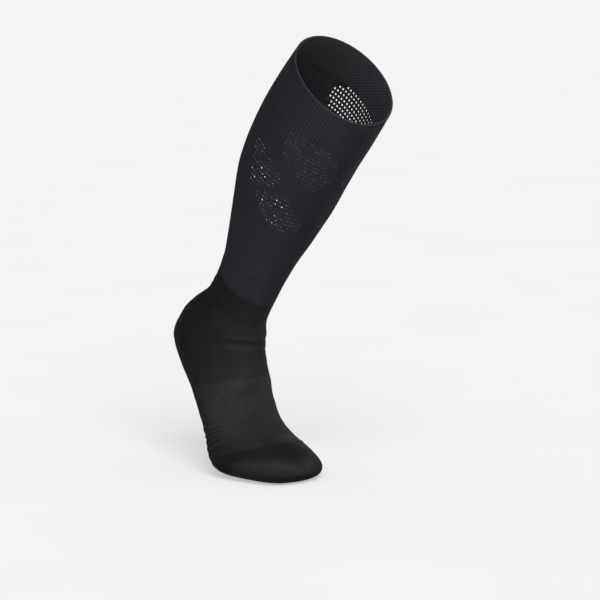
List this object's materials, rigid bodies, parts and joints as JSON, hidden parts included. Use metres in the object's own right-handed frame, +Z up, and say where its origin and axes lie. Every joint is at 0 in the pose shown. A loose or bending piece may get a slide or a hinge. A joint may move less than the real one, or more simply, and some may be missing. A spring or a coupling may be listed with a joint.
{
  "type": "compression stocking",
  "caption": "Knee-high compression stocking, open and hollow as when worn: ribbed cuff and leg, heel pocket, arch band, forefoot and closed toe, the heel lifted and the toes flat.",
  "frame": {"origin": "centre of the cuff band, where the calf holds the stocking up", "axes": "+Z up, +X across the foot, -Y the way the toes point and the leg leans"},
  "size_m": [0.107, 0.2903, 0.4394],
  "materials": {
    "leg_knit": "matt ribbed knit, bluish charcoal",
    "foot_knit": "matt dense knit, near black"
  },
  "bodies": {
    "root": {"cuff": "leg_knit", "leg": "leg_knit", "instep": "foot_knit", "heel": "foot_knit", "arch_band": "foot_knit", "forefoot": "foot_knit", "toe": "foot_knit"}
  },
  "joints": []
}
